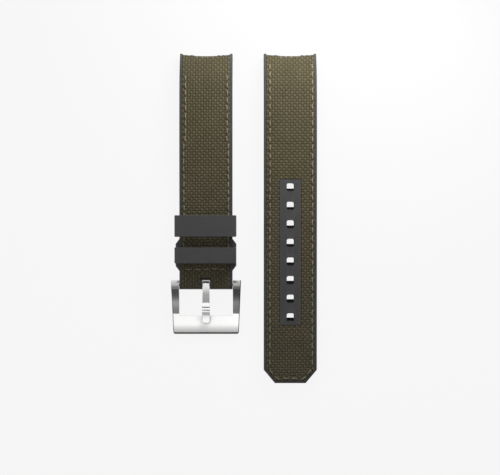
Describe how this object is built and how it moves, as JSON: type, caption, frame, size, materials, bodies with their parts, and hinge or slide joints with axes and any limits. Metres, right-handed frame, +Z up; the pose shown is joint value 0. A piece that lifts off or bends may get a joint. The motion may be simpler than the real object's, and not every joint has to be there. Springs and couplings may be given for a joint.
{
  "type": "watch strap set",
  "caption": "Two-piece rubber watch strap with a woven textile face, a fixed and a sliding keeper, and a pin buckle on a sprung bar.",
  "frame": {"origin": "on the table, under the middle of the whole set as it lies: halfway between the buckle's left side and the long strap's right side, and between the watch ends and the long strap's tip", "axes": "+X across the straps, from the short one to the long one; +Y along the straps, towards the watch ends; +Z up from the table"},
  "size_m": [0.0551, 0.1249, 0.0113],
  "materials": {
    "rubber": "fine matt, dark grey",
    "keeper_rubber": "smooth matt, dark grey",
    "textile": "coarse plain weave, olive brown",
    "steel": "fine satin with polished edges",
    "bar_steel": "turned"
  },
  "bodies": {
    "short_strap": {"short_strap_base": "rubber", "short_strap_fabric": "textile", "fixed_keeper": "keeper_rubber"},
    "long_strap": {"long_strap_base": "rubber", "long_strap_fabric": "textile"},
    "free_keeper": {"free_keeper": "keeper_rubber"},
    "buckle": {"buckle_frame": "steel", "bar_tube": "bar_steel", "bar_spring": "bar_steel"},
    "tongue": {"buckle_tongue": "steel"},
    "plunger_left": {"bar_plunger_left": "bar_steel"},
    "plunger_right": {"bar_plunger_right": "bar_steel"}
  },
  "joints": [
    {"name": "long_strap_lift", "type": "slide", "parent": "short_strap", "child": "long_strap", "axis": [0, 0, 1], "range_m": [0, 0.03]},
    {"name": "keeper_slide", "type": "slide", "parent": "short_strap", "child": "free_keeper", "axis": [0, 0.9992, 0.0402], "range_m": [-0.0006, 0.0296]},
    {"name": "buckle_hinge", "type": "hinge", "parent": "short_strap", "child": "buckle", "pos_m": [-0.01432, -0.02533, 0.00246], "axis": [-1, 0, 0], "range_deg": [-90, 30]},
    {"name": "tongue_hinge", "type": "hinge", "parent": "buckle", "child": "tongue", "pos_m": [-0.01432, -0.02533, 0.00246], "axis": [-1, 0, 0], "range_deg": [0, 60]},
    {"name": "plunger_left_press", "type": "slide", "parent": "buckle", "child": "plunger_left", "axis": [1, 0, 0], "range_m": [0, 0.0011], "stiffness_N_per_m": 1000, "springref_m": -0.001, "deforming": ["bar_spring"]},
    {"name": "plunger_right_press", "type": "slide", "parent": "buckle", "child": "plunger_right", "axis": [-1, 0, 0], "range_m": [0, 0.0011], "stiffness_N_per_m": 1000, "springref_m": -0.001, "deforming": ["bar_spring"]}
  ]
}
